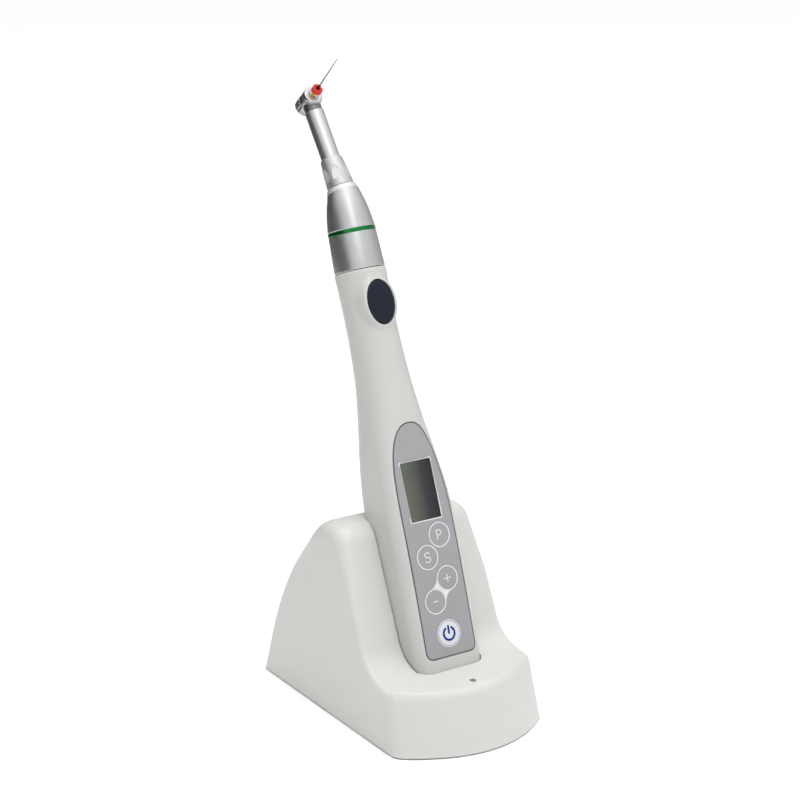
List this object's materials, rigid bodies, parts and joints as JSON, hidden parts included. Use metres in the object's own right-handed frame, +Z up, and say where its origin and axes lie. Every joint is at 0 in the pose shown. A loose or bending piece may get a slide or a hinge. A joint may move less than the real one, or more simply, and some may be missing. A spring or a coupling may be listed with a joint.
{
  "type": "endodontic motor",
  "caption": "Cordless endodontic handpiece with keypad, display, trigger and contra-angle head holding a file, docked leaning in a wedge-shaped charging base.",
  "frame": {"origin": "centre of the whole object's footprint, on the plane that the feet rest on", "axes": "+Z up, -Y the front with the control panel, X = 0 the plane of symmetry"},
  "size_m": [0.0698, 0.1297, 0.2503],
  "materials": {
    "white_plastic": "satin moulded",
    "grey_film": "satin printed film",
    "display_glass": "glossy display",
    "navy_rubber": "fine matte",
    "power_key": "satin",
    "satin_steel": "satin",
    "green_ring": "glossy",
    "brass": "polished",
    "blue_nickel_titanium": "heat-treated blue",
    "red_silicone": "matte",
    "black_rubber": "matte",
    "black_plastic": "matte",
    "circuit_board": "solder mask",
    "battery_wrap": "shrink film",
    "zinc_steel": "zinc plated",
    "light_pipe": "clear"
  },
  "bodies": {
    "base": {"base_shell": "white_plastic", "base_plate": "black_plastic", "foot_1": "black_rubber", "foot_2": "black_rubber", "foot_3": "black_rubber", "foot_4": "black_rubber", "base_screw_1": "zinc_steel", "base_screw_2": "zinc_steel", "base_screw_3": "zinc_steel", "base_screw_4": "zinc_steel", "ballast": "zinc_steel", "charge_board": "circuit_board", "status_light": "light_pipe", "dc_socket": "black_plastic", "contact_block": "black_plastic"},
    "contact_pin_left": {"contact_pin_1": "brass"},
    "contact_pin_right": {"contact_pin_2": "brass"},
    "handpiece": {"front_shell": "white_plastic", "rear_shell": "white_plastic", "end_cap": "white_plastic", "body_screw_1": "zinc_steel", "body_screw_2": "zinc_steel", "control_panel": "grey_film", "lcd_display": "display_glass", "main_board": "circuit_board", "battery_cell": "battery_wrap", "trigger_switch": "black_plastic", "motor_can": "zinc_steel", "motor_bearing_front": "satin_steel", "motor_bearing_rear": "satin_steel", "motor_nose": "satin_steel", "charge_pad_1": "brass", "charge_pad_2": "brass"},
    "motor": {"motor_rotor": "satin_steel"},
    "trigger": {"trigger_button": "navy_rubber"},
    "program_key": {"key_program": "grey_film"},
    "speed_key": {"key_speed": "grey_film"},
    "plus_key": {"key_plus": "grey_film"},
    "minus_key": {"key_minus": "grey_film"},
    "power_button": {"key_power": "power_key"},
    "nose_ring": {"retaining_ring": "black_rubber"},
    "contra_angle": {"rear_sleeve": "satin_steel", "reduction_ring": "green_ring", "sheath": "satin_steel", "ring_gear": "brass", "grip_collar": "satin_steel", "neck_tube": "satin_steel", "head_housing": "satin_steel", "head_back_ring": "satin_steel"},
    "input": {"input_shaft": "satin_steel"},
    "carrier": {"planet_carrier": "satin_steel"},
    "planet_1": {"planet_gear_1": "brass"},
    "planet_2": {"planet_gear_2": "brass"},
    "planet_3": {"planet_gear_3": "brass"},
    "neck_drive": {"neck_shaft": "satin_steel"},
    "chuck": {"chuck_spindle": "satin_steel"},
    "latch_button": {"push_button": "satin_steel"},
    "file": {"file_shank": "brass", "file_blade": "blue_nickel_titanium"},
    "stopper": {"file_stopper": "red_silicone"}
  },
  "joints": [
    {"name": "handpiece_lift", "type": "slide", "parent": "base", "child": "handpiece", "axis": [0, 0.3564, 0.9343], "range_m": [0, 0.12]},
    {"name": "contact_pin_left_press", "type": "slide", "parent": "base", "child": "contact_pin_left", "axis": [0, 0.3564, 0.9343], "range_m": [-0.0008, 0], "stiffness_N_per_m": 300, "springref_m": 0.002},
    {"name": "contact_pin_right_press", "type": "slide", "parent": "base", "child": "contact_pin_right", "axis": [0, 0.3564, 0.9343], "range_m": [-0.0008, 0], "stiffness_N_per_m": 300, "springref_m": 0.002},
    {"name": "trigger_press", "type": "slide", "parent": "handpiece", "child": "trigger", "axis": [0, 0.9343, -0.3564], "range_m": [0, 0.0006], "stiffness_N_per_m": 1500, "springref_m": -0.0008},
    {"name": "program_press", "type": "slide", "parent": "handpiece", "child": "program_key", "axis": [0, 0.9343, -0.3564], "range_m": [0, 0.00025], "stiffness_N_per_m": 2000, "springref_m": -0.0004},
    {"name": "speed_press", "type": "slide", "parent": "handpiece", "child": "speed_key", "axis": [0, 0.9343, -0.3564], "range_m": [0, 0.00025], "stiffness_N_per_m": 2000, "springref_m": -0.0004},
    {"name": "plus_press", "type": "slide", "parent": "handpiece", "child": "plus_key", "axis": [0, 0.9343, -0.3564], "range_m": [0, 0.00025], "stiffness_N_per_m": 2000, "springref_m": -0.0004},
    {"name": "minus_press", "type": "slide", "parent": "handpiece", "child": "minus_key", "axis": [0, 0.9343, -0.3564], "range_m": [0, 0.00025], "stiffness_N_per_m": 2000, "springref_m": -0.0004},
    {"name": "power_press", "type": "slide", "parent": "handpiece", "child": "power_button", "axis": [0, 0.9343, -0.3564], "range_m": [0, 0.00025], "stiffness_N_per_m": 2000, "springref_m": -0.0004},
    {"name": "motor_spin", "type": "hinge", "parent": "handpiece", "child": "motor", "pos_m": [0, 0.00925, 0.13212], "axis": [0, 0.3564, 0.9343], "continuous": true},
    {"name": "contra_angle_swivel", "type": "hinge", "parent": "handpiece", "child": "nose_ring", "pos_m": [0, 0.02668, 0.17781], "axis": [0, 0.3564, 0.9343], "continuous": true},
    {"name": "contra_angle_pull", "type": "slide", "parent": "nose_ring", "child": "contra_angle", "axis": [0, 0.3564, 0.9343], "range_m": [0, 0.03]},
    {"name": "input_spin", "type": "hinge", "parent": "contra_angle", "child": "input", "pos_m": [0, 0.02993, 0.18631], "axis": [0, 0.3564, 0.9343], "continuous": true},
    {"name": "carrier_spin", "type": "hinge", "parent": "contra_angle", "child": "carrier", "pos_m": [0, 0.03206, 0.19191], "axis": [0, 0.3564, 0.9343], "continuous": true},
    {"name": "planet_1_spin", "type": "hinge", "parent": "carrier", "child": "planet_1", "pos_m": [0, 0.03448, 0.18703], "axis": [0, 0.3564, 0.9343], "continuous": true},
    {"name": "planet_2_spin", "type": "hinge", "parent": "carrier", "child": "planet_2", "pos_m": [-0.00346, 0.02888, 0.18917], "axis": [0, 0.3564, 0.9343], "continuous": true},
    {"name": "planet_3_spin", "type": "hinge", "parent": "carrier", "child": "planet_3", "pos_m": [0.00346, 0.02888, 0.18917], "axis": [0, 0.3564, 0.9343], "continuous": true},
    {"name": "neck_spin", "type": "hinge", "parent": "contra_angle", "child": "neck_drive", "pos_m": [0, 0.03544, 0.1989], "axis": [0, 0.569, 0.8223], "continuous": true},
    {"name": "chuck_spin", "type": "hinge", "parent": "contra_angle", "child": "chuck", "pos_m": [0, 0.05786, 0.2313], "axis": [0, -0.7232, 0.6906], "continuous": true},
    {"name": "latch_press", "type": "slide", "parent": "contra_angle", "child": "latch_button", "axis": [0, -0.7232, 0.6906], "range_m": [0, 0.0006], "stiffness_N_per_m": 800, "springref_m": -0.0012},
    {"name": "file_pull", "type": "slide", "parent": "chuck", "child": "file", "axis": [0, -0.7232, 0.6906], "range_m": [0, 0.01]},
    {"name": "stopper_slide", "type": "slide", "parent": "file", "child": "stopper", "axis": [0, -0.7232, 0.6906], "range_m": [0, 0.012]}
  ],
  "couplings": [
    {"joint": "input_spin", "follows": "motor_spin", "ratio": 1},
    {"joint": "carrier_spin", "follows": "motor_spin", "ratio": 0.25},
    {"joint": "planet_1_spin", "follows": "motor_spin", "ratio": -0.75},
    {"joint": "planet_2_spin", "follows": "motor_spin", "ratio": -0.75},
    {"joint": "planet_3_spin", "follows": "motor_spin", "ratio": -0.75},
    {"joint": "neck_spin", "follows": "motor_spin", "ratio": 0.25},
    {"joint": "chuck_spin", "follows": "motor_spin", "ratio": -0.25}
  ]
}
